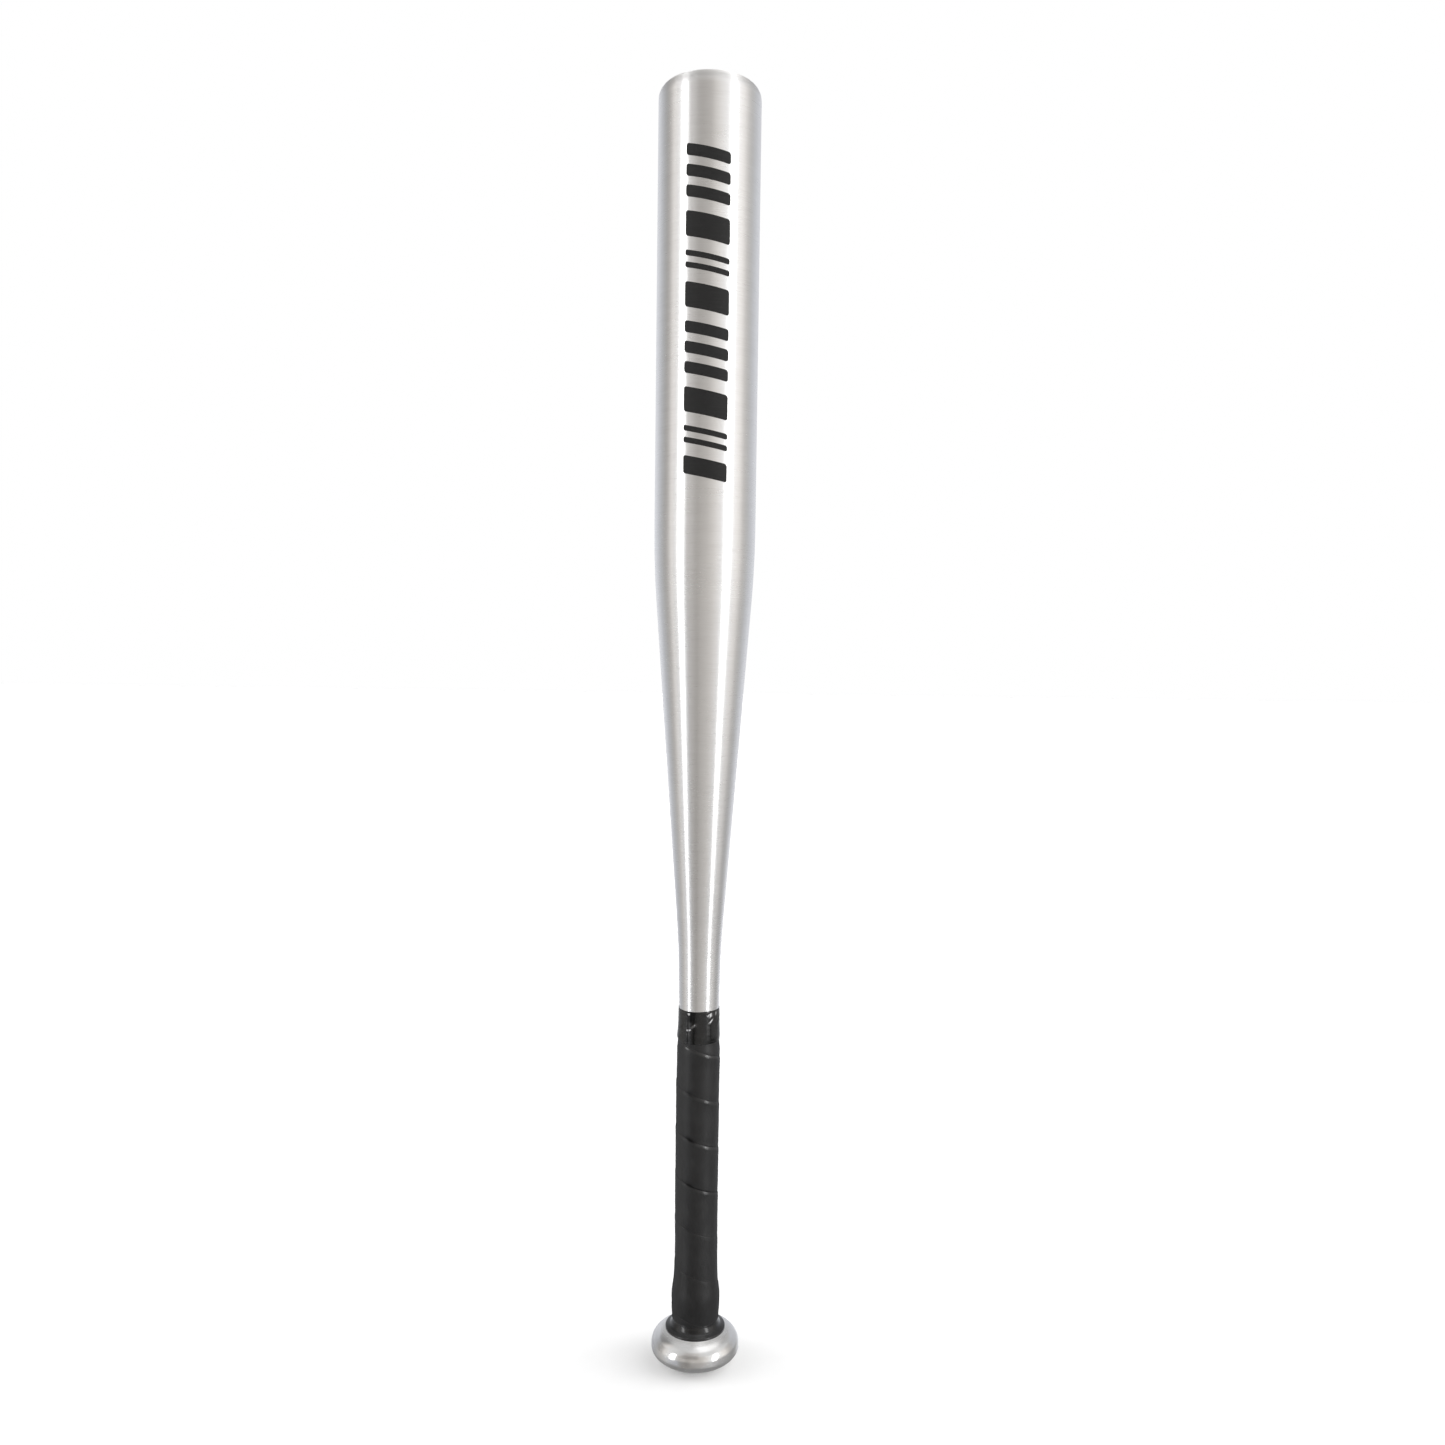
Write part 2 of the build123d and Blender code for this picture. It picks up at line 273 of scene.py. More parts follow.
class Material(Graph):
    """Material with one Principled shader, textured in object space (metres)."""

    def __init__(self, name):
        self.material = bpy.data.materials.new(name)
        self.material.use_nodes = True
        super().__init__(self.material.node_tree)
        output = self.add("ShaderNodeOutputMaterial")
        self.principled = self.add("ShaderNodeBsdfPrincipled")
        self.tree.links.new(self.principled.outputs[0], output.inputs[0])
        self.position = self.value("ShaderNodeTexCoord", "Object")

    @cached_property
    def axes(self):
        return self.split(self.position)

    def surface(self, **inputs):
        """Sets the shader's inputs, named with _ for a space, and returns the material."""
        for name, value in inputs.items():
            self.feed(self.principled.inputs[name.replace("_", " ")], value)
        return self.material

    def mark(self, name):
        """A value stored on the mesh's points."""
        return self.value("ShaderNodeAttribute", "Fac",
                          attribute_type="GEOMETRY", attribute_name=name)

    def streaks(self, across, upward, rough=0.5):
        """Noise with one scale in X and Y and another in Z."""
        x, y, z = self.axes
        return self.noise(self.combine(x * across, y * across, z * upward), 1.0, rough=rough)

    def no_rim(self, level, over=(0.40, 0.88)):
        """Specular level that dies away towards the silhouette, as on a rough surface
        that shadows itself."""
        facing = self.value("ShaderNodeLayerWeight", "Facing", {"Blend": 0.5})
        return self.remap(facing, over, to=(level, 0.0))


# ------------------------------------------------------------------ materials
def brushed_aluminium():
    """Drawn tube, brushed round the bat: fine scratches round the axis, a few wider
    bands and faint handling marks. The gloss is stretched along the axis."""
    g = Material("brushed_aluminium_brushed")
    x, y, z = g.axes
    radius = g.math("SQRT", x * x + y * y)

    # unit direction from the axis, so a line keeps its length on barrel and handle
    def unit(side):
        return side / g.math("MAXIMUM", radius, 0.001)

    unit_x, unit_y = unit(x), unit(y)

    def lines(turn_scale, z_scale, detail, offset):
        vector = g.combine(unit_x * turn_scale, unit_y * turn_scale, z * z_scale + offset)
        return g.noise(vector, scale=1.0, detail=detail, rough=0.6)

    fine = lines(turn_scale=3.2, z_scale=5200.0, detail=2.0, offset=0.0)
    medium = lines(turn_scale=2.0, z_scale=1500.0, detail=3.0, offset=40.0)
    broad = lines(turn_scale=0.9, z_scale=160.0, detail=3.0, offset=90.0)
    scratch = g.remap(lines(turn_scale=5.0, z_scale=2600.0, detail=1.0, offset=7.0),
                      over=(0.66, 0.80))
    handled = g.noise(g.position, scale=26.0, detail=3.0, rough=0.6)
    colour = g.ramp(fine * 0.30 + (medium * 0.42 + broad * 0.28), [
        (0.30, (0.800, 0.792, 0.784)), (0.52, (0.868, 0.862, 0.856)),
        (0.74, (0.920, 0.916, 0.912))])
    # the rolled end is turned more coarsely
    end = g.remap(z, over=(0.8025, 0.8085))
    height = fine * 0.5 + medium * 0.5 - scratch * 0.15
    return g.surface(
        Base_Color=g.mix(scratch * 0.15, colour, grey(0.95)),
        Roughness=medium * 0.07 + (handled * 0.05 + 0.225) + end * 0.26,
        Anisotropic=end * 0.10 + 0.84,
        Anisotropic_Rotation=0.25,
        Metallic=1.0,
        Tangent=g.value("ShaderNodeTangent", direction_type="RADIAL", axis="Z"),
        Normal=g.bump(height, distance=0.000012, strength=0.26))


def polished_aluminium():
    """Cast knob, tumbled and buffed: mostly smooth, with a faint orange-peel, fine
    random scratches and duller patches."""
    g = Material("polished_aluminium_cast")
    z = g.axes[2]
    peel = g.noise(g.position, scale=420.0, detail=3.0, rough=0.55)
    patch = g.noise(g.position, scale=75.0, detail=3.0, rough=0.6)
    buff = g.streaks(across=260.0, upward=3800.0, rough=0.6)
    # hair-thin scratches follow the edges of warped cells
    shift = g.vector_math("SCALE", {0: g.noise(g.position, scale=160.0, output="Color"),
                                    3: 0.004})
    edge = g.value("ShaderNodeTexVoronoi", "Distance", {
        "Vector": g.vector_math("ADD", {0: g.position, 1: shift}), "Scale": 310.0},
        feature="DISTANCE_TO_EDGE")
    hair = g.remap(edge, over=(0.0, 0.022), to=(1.0, 0.0))
    colour = g.ramp(patch, [(0.30, (0.670, 0.664, 0.656)), (0.55, (0.735, 0.730, 0.724)),
                            (0.78, (0.790, 0.788, 0.784))])
    # duller beside the collar's lip, where the buffing wheel doesn't reach
    dull = g.remap(z, over=(0.0204, 0.0222), to=(0.0, 0.20))
    height = peel * 0.6 + (buff * 0.25 + patch * 1.2)
    return g.surface(
        Base_Color=g.mix(hair * 0.10, colour, grey(0.90)),
        Roughness=patch * 0.10 + (hair * 0.04 + 0.105) + dull,
        Metallic=1.0,
        Normal=g.bump(height, distance=0.00005, strength=0.5))


def weld_metal():
    """Rippled, partly sooty weld bead."""
    g = Material("weld_metal_bead")
    x, y, _ = g.axes
    ripple = g.math("SINE", g.math("ARCTAN2", y, x) * 46.0
                    + g.noise(g.position, scale=300.0) * 3.0)
    soot = g.noise(g.position, scale=220.0, detail=3.0)
    return g.surface(
        Base_Color=g.ramp(soot, [(0.3, (0.33, 0.32, 0.31)), (0.7, (0.60, 0.59, 0.57))]),
        Roughness=g.remap(soot, over=(0.3, 0.7), to=(0.55, 0.35)),
        Metallic=1.0,
        Normal=g.bump(ripple, distance=0.00012, strength=0.8))


def collar_gloss():
    """Glossy moulded rubber with a faint moulding texture and a duller lip edge."""
    g = Material("collar_gloss_moulded")
    grain = g.noise(g.position, scale=900.0)
    patch = g.noise(g.position, scale=140.0, detail=3.0)
    lip = g.remap(g.axes[2], over=(0.0233, 0.0238), to=(1.0, 0.0))
    colour = g.ramp(patch, [(0.3, (0.0018, 0.0018, 0.0021)), (0.75, (0.0034, 0.0034, 0.0040))])
    return g.surface(
        Base_Color=g.mix(lip * 0.75, colour, (0.016, 0.0155, 0.0165)),
        Roughness=patch * 0.14 + (lip * 0.16 + 0.10),
        IOR=1.55,
        Normal=g.bump(grain + patch * 1.5, distance=0.00003, strength=0.5))


def plug_rubber():
    """Moulded thermoplastic rubber with a fine spark-eroded texture."""
    g = Material("plug_rubber_textured")
    grain = g.noise(g.position, scale=2600.0, rough=0.6)
    patch = g.noise(g.position, scale=90.0, detail=3.0)
    wear = g.remap(patch, over=(0.55, 0.8))
    colour = g.ramp(patch, [(0.3, (0.010, 0.010, 0.011)), (0.75, (0.018, 0.018, 0.019))])
    return g.surface(
        Base_Color=g.mix(wear * 0.4, colour, (0.035, 0.035, 0.036)),
        Roughness=grain * 0.18 + 0.42,
        Normal=g.bump(grain, distance=0.00006, strength=0.6))


def grip_leather():
    """Black polyurethane leather: pebble grain, tiny pricked dots and a soft sheen, with
    painted shade in its creases and pricked dots, and laps rubbed shiny."""
    handle_r, handle_girth = 0.0136, 85.5   # metres and mm
    dots_per_metre = 620.0
    g = Material("grip_leather_grain")
    x, y, z = g.axes
    # distance round the handle, as on an unrolled sheet
    girth = g.math("ARCTAN2", x, y * -1.0) * handle_r
    warped = g.vector_math("MULTIPLY_ADD", {
        0: g.noise(g.position, scale=600.0, output="Color"), 1: grey(0.0006), 2: g.position})
    pebble = g.value("ShaderNodeTexVoronoi", "Distance", {"Vector": warped, "Scale": 1500.0})
    soft = g.noise(g.position, scale=900.0, detail=4.0, rough=0.65)
    mottle = g.noise(g.position, scale=130.0, detail=4.0, rough=0.6)

    # rows of pricked dots along the strip, which climbs at the winding's angle
    def from_dot(distance):
        return g.math("FRACT", distance * dots_per_metre) - 0.5

    along = from_dot(girth + z * 0.35)
    across = from_dot(z + girth * (PITCH / handle_girth))
    dot = g.remap(along * along + across * across, over=(0.012, 0.040), to=(1.0, 0.0))
    height = pebble * pebble * 0.7 + soft * 0.8 - dot * 0.45
    colour = g.ramp(mottle, [(0.28, (0.0042, 0.0042, 0.0047)), (0.55, (0.0070, 0.0070, 0.0074)),
                             (0.80, (0.0108, 0.0108, 0.0110))])
    # the pricked dots are darkened: painted shade in the holes
    colour = g.mix(dot * 0.5, colour, grey(0.003))
    # painted shade darkens the crease above each lap, and each lap's raised lip is rubbed shiny
    painted_shade, lip = g.mark("painted_shade"), g.mark("lip")
    level = g.no_rim(0.5) * (1.0 - painted_shade * 0.82)
    level = level * g.remap(z, over=(0.030, 0.085), to=(0.72, 1.0))
    return g.surface(
        Base_Color=g.mix(painted_shade * 0.8, colour, (0.0012, 0.0012, 0.0013)),
        Roughness=mottle * 0.16 + soft * 0.10 + 0.28 - lip * 0.17,
        Specular_IOR_Level=level * (1.0 + lip * 1.2),
        IOR=1.5,
        Normal=g.bump(height, distance=0.00009, strength=0.55))


def vinyl_tape():
    """Stretched glossy vinyl: smooth, with a slight ripple and stretch lines."""
    g = Material("vinyl_tape_gloss")
    ripple = g.noise(g.position, scale=260.0, detail=3.0, rough=0.55)
    stretch = g.streaks(across=120.0, upward=1900.0)
    dust = g.remap(g.noise(g.position, scale=1900.0, detail=1.0), over=(0.72, 0.80))
    colour = g.ramp(ripple, [(0.3, (0.0048, 0.0049, 0.0047)), (0.75, (0.0098, 0.0098, 0.0095))])
    colour = g.mix(dust * 0.15, colour, grey(0.06))
    # taut facets are glassier than the loose film, and shade is painted into the folds
    painted_shade, shine = g.mark("painted_shade"), g.mark("shine")
    return g.surface(
        Base_Color=g.mix(painted_shade * 0.85, colour, (0.0012, 0.0013, 0.0012)),
        Roughness=ripple * 0.10 + (dust * 0.25 + 0.09),
        Specular_IOR_Level=g.no_rim(0.5, over=(0.5, 0.95)) * (1.0 - painted_shade * 0.85),
        IOR=1.52,
        Coat_Weight=shine * 0.9,
        Coat_Roughness=0.05,
        Coat_IOR=1.9,
        Normal=g.bump(ripple * 1.0 + stretch * 0.35, distance=0.00008, strength=0.5))


def underlay():
    """Pale adhesive layer under the grip."""
    g = Material("underlay_adhesive")
    grain = g.noise(g.position, scale=1200.0, detail=3.0)
    return g.surface(
        Base_Color=g.ramp(grain, [(0.3, (0.55, 0.53, 0.46)), (0.7, (0.74, 0.72, 0.66))]),
        Roughness=g.remap(grain, over=(0.3, 0.7), to=(0.55, 0.85)),
        Normal=g.bump(grain, distance=0.00005, strength=0.5))


def damper_foam():
    """Grey foam with small cells."""
    g = Material("damper_foam_cells")
    cell = g.value("ShaderNodeTexVoronoi", "Distance", {"Vector": g.position, "Scale": 900.0})
    return g.surface(
        Base_Color=g.ramp(cell, [(0.0, (0.22, 0.22, 0.21)), (0.6, (0.52, 0.52, 0.50))]),
        Roughness=0.9,
        Normal=g.bump(cell, distance=0.0004, strength=0.7))


def graphic_ink():
    """Screen-printed black ink: satin, with the brushing faintly showing through and
    tiny pinholes."""
    g = Material("graphic_ink_print")
    brush = g.streaks(across=60.0, upward=3000.0)
    fleck = g.remap(g.noise(g.position, scale=2200.0, detail=1.0), over=(0.74, 0.80))
    colour = g.ramp(brush, [(0.3, (0.0070, 0.0068, 0.0068)), (0.7, (0.0120, 0.0117, 0.0117))])
    return g.surface(
        Base_Color=g.mix(fleck * 0.25, colour, grey(0.10)),
        Roughness=brush * 0.14 + 0.48,
        Specular_IOR_Level=g.no_rim(0.35),
        IOR=1.45,
        Normal=g.bump(brush, distance=0.00001, strength=0.4))


def floor_paper():
    """Plain pale studio floor."""
    g = Material("studio_floor")
    patch = g.noise(g.position, scale=60.0, detail=3.0)
    return g.surface(
        Base_Color=g.ramp(patch, [(0.3, grey(0.900)), (0.7, grey(0.912))]),
        Roughness=1.0,
        Specular_IOR_Level=0.0)


piece_materials = {
    "bat_tube": brushed_aluminium(),
    "knob": polished_aluminium(),
    "knob_weld": weld_metal(),
    "knob_collar": collar_gloss(),
    "end_plug": plug_rubber(),
    "grip_underlay": underlay(),
    "foam_damper": damper_foam(),
}
piece_materials["knob_plug"] = piece_materials["end_plug"]
leather, vinyl, ink = grip_leather(), vinyl_tape(), graphic_ink()
for name, piece_material in piece_materials.items():
    slots = nodes[name].data.materials
    slots.clear()
    slots.append(piece_material)


# ------------------------------------------------------------------ grip tape
# One strip wound seven and a half turns. The top margin of each turn laps over the
# bottom margin of the turn above, which is skived thin. `turn` is the angle wound so
# far, which is also the azimuth; `below` is the distance below the strip's top edge.
GRIP_R = 13.88
# (height, swell of the outside): out over the collar's sleeve, in under the finishing tape
SWELL = [(29.4, 1.36), (32.5, 1.46), (37.6, 1.72), (43.0, 1.83), (46.0, 1.72), (48.4, 1.49),
         (51.0, 1.14), (53.9, 0.80), (59.3, 0.39), (64.7, 0.20), (70.0, 0.08), (80.0, 0.0),
         (207.0, 0.0), (210.0, -0.10), (212.5, -0.40), (214.0, -0.56), (221.2, -0.70)]
# (height, radius of the inside)
INNER = [(29.4, 13.76), (32.5, 13.86), (37.6, 14.12), (43.0, 14.21), (48.4, 13.88),
         (53.9, 13.22), (59.3, 12.80), (64.7, 12.62), (70.0, 12.52), (80.0, 12.46),
         (204.0, 12.50), (221.2, 12.81)]
# (below, thickness relief)
RELIEF = [(0.0, -0.10), (0.12, 0.00), (0.3, 0.06), (0.8, 0.10), (1.8, 0.12), (3.6, 0.10),
          (6.0, 0.07), (10.0, 0.03), (18.0, 0.0), (26.0, -0.05), (29.2, -0.11), (30.0, -0.16),
          (31.0, -0.30), (WIDTH, -0.62)]
# (below, height of a lap's lip where the strip is pulled tight)
LIP = [(0.0, 0.0), (0.2, 0.0), (0.5, 0.045), (1.6, 0.245), (1.9, 0.265), (2.4, 0.25),
       (4.0, 0.14), (6.5, 0.04), (9.0, 0.0)]
# (below, lift of the inside over the turn it laps)
UNDER = [(0.0, 0.985), (LAP * 0.5, 0.80), (LAP, 0.58), (LAP + 0.6, 0.0), (WIDTH, 0.0)]
# How strongly the seams at the front show, as (height, strength): the raised lip, the
# painted shade line and the painted shadow in the dent. The lowest turns are pressed nearly
# flat.
HELD = [(60.0, 0.05), (92.0, 0.12), (106.0, 0.6), (120.0, 0.72), (150.0, 0.95), (180.0, 0.78),
        (212.0, 1.1)]
LINED = [(60.0, 0.06), (92.0, 0.15), (106.0, 2.0), (122.0, 2.3), (136.0, 1.0), (150.0, 0.7),
         (180.0, 0.25), (212.0, 0.2)]
DENT_SHADOWED = [(60.0, 0.06), (92.0, 0.15), (106.0, 0.6), (120.0, 0.7), (150.0, 1.0),
           (180.0, 0.45), (212.0, 0.3)]
BACK_STRENGTH = 0.7   # replaces all three behind
# a tight facet just under the finishing tape, on a surface of this radius
GRIP_FACET_R = 13.9
GRIP_FACET = Facet(azimuth=-31.0, z=212.4, lean_side=4.5, lean_up=12.0,
                   half_long=1.8, half_wide=0.8, gloss=1.0)
# rows of points down the strip's outside and inside, by `below`
OUTER_ROWS = np.concatenate([
    [0.0, 0.12, 0.25, 0.4, 0.6, 0.8, 1.0, 1.2, 1.4, 1.6, 1.8, 2.1, 2.5, 3.0, 3.8, 4.8, 6.0],
    np.linspace(7.4, 25.6, 14),
    [26.6, 27.4, 28.1, 28.6, 29.0, 29.3, 29.6, 29.8, 30.0, 30.3, 30.7, 31.2, 31.9, 32.6,
     WIDTH]])
INNER_ROWS = np.array([0.0, 0.6, 1.6, 2.4, LAP, LAP + 0.6, 6.0, 12.0, 18.0, 24.0, 29.0, 31.0,
                       WIDTH])


def seam_strength(turn, z, table):
    back = smoothstep(abs(degrees_from(turn, 0)), 72, 112)
    return interp(z, table) * (1 - back) + BACK_STRENGTH * back


def lip_hold(turn, z):
    """How far the lap's lip stands up: tight on the right of the front (+X), pressed flat
    on the left, uneven behind."""
    deg = degrees_from(turn, 0)
    front = 0.30 * plateau(deg, rise=(-16, 2), fall=(62, 95))
    front = max(front, bell(deg - 25, width=13))
    behind = smoothstep(abs(deg), 95, 130) * (0.45 + 0.5 * wander(turn * 1.3, 0.0, seed=3.0))
    hold = max(front, 0.12) * seam_strength(turn, z, HELD) + behind
    return min(1.0, hold) * (0.98 + 0.25 * wander(turn * 0.31, 2.0, seed=6.0))


def grip_marks(turn, z, below):
    """Where shade is painted into the outside's seams and dents, and where it is rubbed shiny.
    """
    deg = degrees_from(turn, 0)
    # a painted shade line along both edges of each seam
    line = 0.34 * plateau(deg, rise=(-34, -16), fall=(66, 100)) + 0.14
    line += 0.3 * smoothstep(abs(deg), 100, 130)
    line = min(1.0, line * seam_strength(turn, z, LINED))
    painted_shade = line * max(bell(below - PITCH, width=0.5), bell(below, width=0.16))
    # a painted shadow in the dent where the lip begins, on each turn
    dent_shadow = bell(deg + 18, width=11) * max(bell(below - 29.4, width=1.7),
                                            bell(below, width=0.9))
    dent_shadow += 0.45 * bell(deg + 34, width=10) * bell(below - 29.6, width=1.1)
    uneven = 0.85 + 0.3 * wander(turn * 0.31, 7.0, seed=2.0)
    painted_shade = min(1.0, painted_shade + dent_shadow * uneven * seam_strength(turn, z, DENT_SHADOWED))
    painted_shade *= smoothstep(z, 40.0, 62.0)
    shiny = lip_hold(turn, z) * plateau(below, rise=(0.15, 0.5), fall=(1.6, 2.6))
    shiny = max(shiny, facet_at(turn, z, GRIP_FACET_R, GRIP_FACET)[1])
    return painted_shade, max(0.0, min(1.0, shiny))


def grip_outside(turn, z, below):
    """Radius of the strip's outer face."""
    r = GRIP_R + interp(z, SWELL)
    relief = interp(below, RELIEF)
    relief *= 0.62 + 0.38 * min(1.0, seam_strength(turn, z, HELD))
    r += relief + interp(below, LIP) * lip_hold(turn, z) * smoothstep(z, 36.0, 56.0)
    # broad and finer unevenness
    r += 0.050 * around(turn, z, seed=1.0, turn_scale=1.3, z_scale=0.085)
    r += 0.028 * around(turn, z, seed=2.0, turn_scale=2.6, z_scale=0.21)
    # the strip pulls down into a shallow hollow just above each lap
    r -= 0.07 * bell(below - 27.8, width=1.5) * (0.7 + 0.6 * wander(turn * 1.7, 4.0, seed=5.0))
    # each turn is dented where the lip begins
    dent = bell(below - 29.4, width=1.6) + 0.5 * bell(below + 0.2, width=1.0)
    r -= 0.22 * bell(degrees_from(turn, -18), width=9) * dent
    r += facet_at(turn, z, GRIP_FACET_R, GRIP_FACET)[0]
    # half way up, the winding sits a little towards -X
    r += (0.08 - 0.22 * math.sin(turn)) * plateau(z, rise=(75, 110), fall=(185, 205))
    # over the collar's sleeve, the -X side swells more
    side = 0.5 - 0.5 * math.sin(turn)
    r += 0.16 * side * bell(z - 47.0, width=6.0)
    return r


def clipped_rows(rows, first, last):
    """The rows between first and last, respread so that their count stays the same and
    no two fall on one point."""
    if first <= 0 and last >= WIDTH:
        return rows
    kept = rows[(rows > first + 0.02) & (rows < last - 0.02)]
    full = np.concatenate([[first], kept, [last]])
    return np.interp(np.linspace(0, len(full) - 1, len(rows)), np.arange(len(full)), full)


def make_grip():
    end_sliver = 0.4   # least width of strip left at its clipped ends
    start = (TOP_EDGE_AT_0 - (GRIP_Z1 + WIDTH - end_sliver)) / PITCH * TAU
    end = (TOP_EDGE_AT_0 - (GRIP_Z0 + end_sliver)) / PITCH * TAU
    count = int(math.ceil((end - start) / (TAU / 132)))
    rings, painted_shades, lips = [], [], []
    for i in range(count + 1):
        turn = start + (end - start) * i / count
        top = TOP_EDGE_AT_0 - turn / TAU * PITCH
        # the edges waver slightly
        top += 0.22 * wander(turn * 1.1, 0.0, seed=8.0)
        top += 0.08 * wander(turn * 4.0, 0.0, seed=9.0)
        first = top - min(top, GRIP_Z1)
        last = top - max(top - WIDTH, GRIP_Z0)
        ring = []
        for below in clipped_rows(OUTER_ROWS, first, last):
            z = top - below
            ring.append(place(turn, grip_outside(turn, z, below), z))
            painted_shade, shiny = grip_marks(turn, z, below)
            painted_shades.append(painted_shade)
            lips.append(shiny)
        for below in reversed(clipped_rows(INNER_ROWS, first, last)):
            z = top - below
            ring.append(place(turn, interp(z, INNER) + interp(below, UNDER), z))
        painted_shades += [0.0] * len(INNER_ROWS)
        lips += [0.0] * len(INNER_ROWS)
        rings.append(ring)
    return solid_of_rings("grip_wrap", rings, sharp_deg=52, marks={"painted_shade": painted_shades, "lip": lips})


grip = make_grip()
grip.data.materials.append(leather)
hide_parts("grip_tape")
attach(grip, "root")


# ------------------------------------------------------------------ finishing tape
# A vinyl strip wound a little over two turns across the end of the grip, with puckers
# where it climbs from the bare handle onto the grip.
VINYL_T = 0.13
GAP_UNDER, GAP_BETWEEN = 0.012, 0.015   # clearance beneath the film and between its layers
FILM_START = math.radians(-70)
FILM_END = TAU * 2 + math.radians(33)
FILM_ROWS_OUT, FILM_ROWS_IN = 84, 24
PUCKER_R, FILM_FACET_R = 12.9, 13.2
# (height, radius beneath the film)
UNDER_VINYL = [(213.0, 13.35), (219.0, 13.31), (221.0, 13.27), (224.0, 13.17), (228.0, 13.05),
               (232.0, 12.97), (238.0, 12.86)]
# (share of the winding, height of the top edge) and (share, width of the film)
FILM_TOP = [(0, 234.3), (0.3, 235.1), (0.55, 236.5), (0.8, 236.7), (1, 236.0)]
FILM_WIDTH = [(0, 19.4), (0.5, 19.4), (0.8, 20.2), (1, 19.4)]
# ridges: from azimuth in degrees and height, to azimuth and height, width, ridge height
PUCKERS = [
    (-82, 223.6, -44, 224.6, 1.2, 0.20), (-98, 218.4, -56, 217.2, 3.0, 0.34),
    (62, 226.0, 88, 233.5, 1.0, 0.22), (96, 216.0, 128, 224.0, 1.1, 0.22),
    (140, 227.0, 196, 221.0, 1.0, 0.22), (205, 216.5, 236, 225.5, 1.2, 0.20),
    (168, 233.0, 214, 229.0, 0.9, 0.14),
    # shallow upright creases
    (-31, 214.5, -31, 236.0, 0.7, -0.07), (-13, 214.5, -13, 236.0, 0.9, -0.09),
]
# taut facets between the puckers; columns as in Facet
FILM_FACETS = [Facet(*row) for row in [
    (34.0, 233.6, -5.5, 11.0, 2.0, 1.7, 1.0), (56.0, 234.3, -28.5, 11.0, 1.6, 0.7, 1.0),
    (37.0, 229.8, -10.5, 11.5, 2.4, 0.85, 1.0), (-14.0, 227.0, -10.0, 11.5, 2.3, 0.95, 1.0),
    (-27.0, 224.2, -3.0, 12.0, 1.9, 0.65, 1.0), (-28.0, 234.5, -1.0, 10.5, 0.95, 0.95, 1.0),
    # behind and at the sides
    (112.0, 229.0, 9.0, 12.0, 1.8, 0.6, 0.8), (150.0, 217.5, -7.0, 12.0, 1.6, 0.6, 0.8),
    (188.0, 231.5, 6.0, 11.0, 1.5, 0.7, 0.8), (222.0, 221.0, -9.0, 12.0, 1.9, 0.6, 0.8),
    (255.0, 230.0, 8.0, 12.0, 1.4, 0.6, 0.8),
]]
# azimuths of painted shade along the creases behind
BACK_SHADED_CREASES = (104, 163, 207, 251)   # azimuths in degrees


def pucker_height(deg, z, pucker):
    """Height one ridge adds at a point; it is lower towards its ends."""
    deg0, z0, deg1, z1, width, height = pucker
    x, x0, x1 = [v * PUCKER_R * math.pi / 180 for v in (deg, deg0, deg1)]
    dx, dz = x1 - x0, z1 - z0
    length = math.hypot(dx, dz)
    along = ((x - x0) * dx + (z - z0) * dz) / (length * length)
    along = min(1.0, max(0.0, along))
    off = math.hypot(x - x0 - along * dx, z - z0 - along * dz)
    fade = plateau(along, rise=(0.0, 0.25), fall=(0.75, 1.0))
    return height * (0.35 + 0.65 * fade) * bell(off, width)


def vinyl_relief(azimuth, z):
    """Height of the film's puckers, unevenness and facets."""
    deg = math.degrees(azimuth)
    height = 0.0
    for pucker in PUCKERS:
        for shift in (-360, 0, 360):
            height += pucker_height(deg + shift, z, pucker)
    height += 0.030 * around(azimuth, z, seed=11.0, turn_scale=2.2, z_scale=0.35)
    for facet in FILM_FACETS:
        height += facet_at(azimuth, z, FILM_FACET_R, facet)[0]
    return height


def vinyl_marks(azimuth, z, turn, bottom):
    """Where shade is painted into the film's folds and where it is stretched glassy."""
    deg = degrees_from(azimuth, 0)
    sway = 1.6 * noise.noise(Vector((0.0, z * 0.28, 40.0)))
    painted_shades = [
        # painted shade along two upright creases on the left of the front, joined by a painted
        # dark patch high up
        0.85 * bell(deg + 31 + sway, width=3.0),
        0.80 * bell(deg + 13 - sway, width=4.4),
        0.9 * bell(deg + 22, width=9.0) * smoothstep(z, 228.3, 230.3),
        # broad shading on the right: low down, then further round
        0.55 * bell(deg - 31, width=9.0) * (1 - smoothstep(z, 228.5, 230.5)),
        0.45 * bell(deg - 70, width=10.0) * smoothstep(z, 216, 222),
    ]
    for crease in BACK_SHADED_CREASES:
        painted_shades.append(0.7 * bell(degrees_from(azimuth, crease) + 2 * sway, width=3.2))
    # a painted shadow line where the cut end casts on the turn beneath
    past = math.degrees(turn - (FILM_END - TAU))
    if 0 < past < 9:
        painted_shades.append(0.9 * bell(past - 1.2, width=1.3))
    # painted shade in the gap along the lower edge of the turns beneath, near the cut end
    if turn < FILM_END - 3.5:
        painted_shades.append(0.95 * bell(z - bottom - 0.5, width=0.9)
                     * bell(degrees_from(azimuth, 42), width=17))
    shine = max(facet_at(azimuth, z, FILM_FACET_R, facet)[1] for facet in FILM_FACETS)
    return max(painted_shades) * (1 - shine), shine


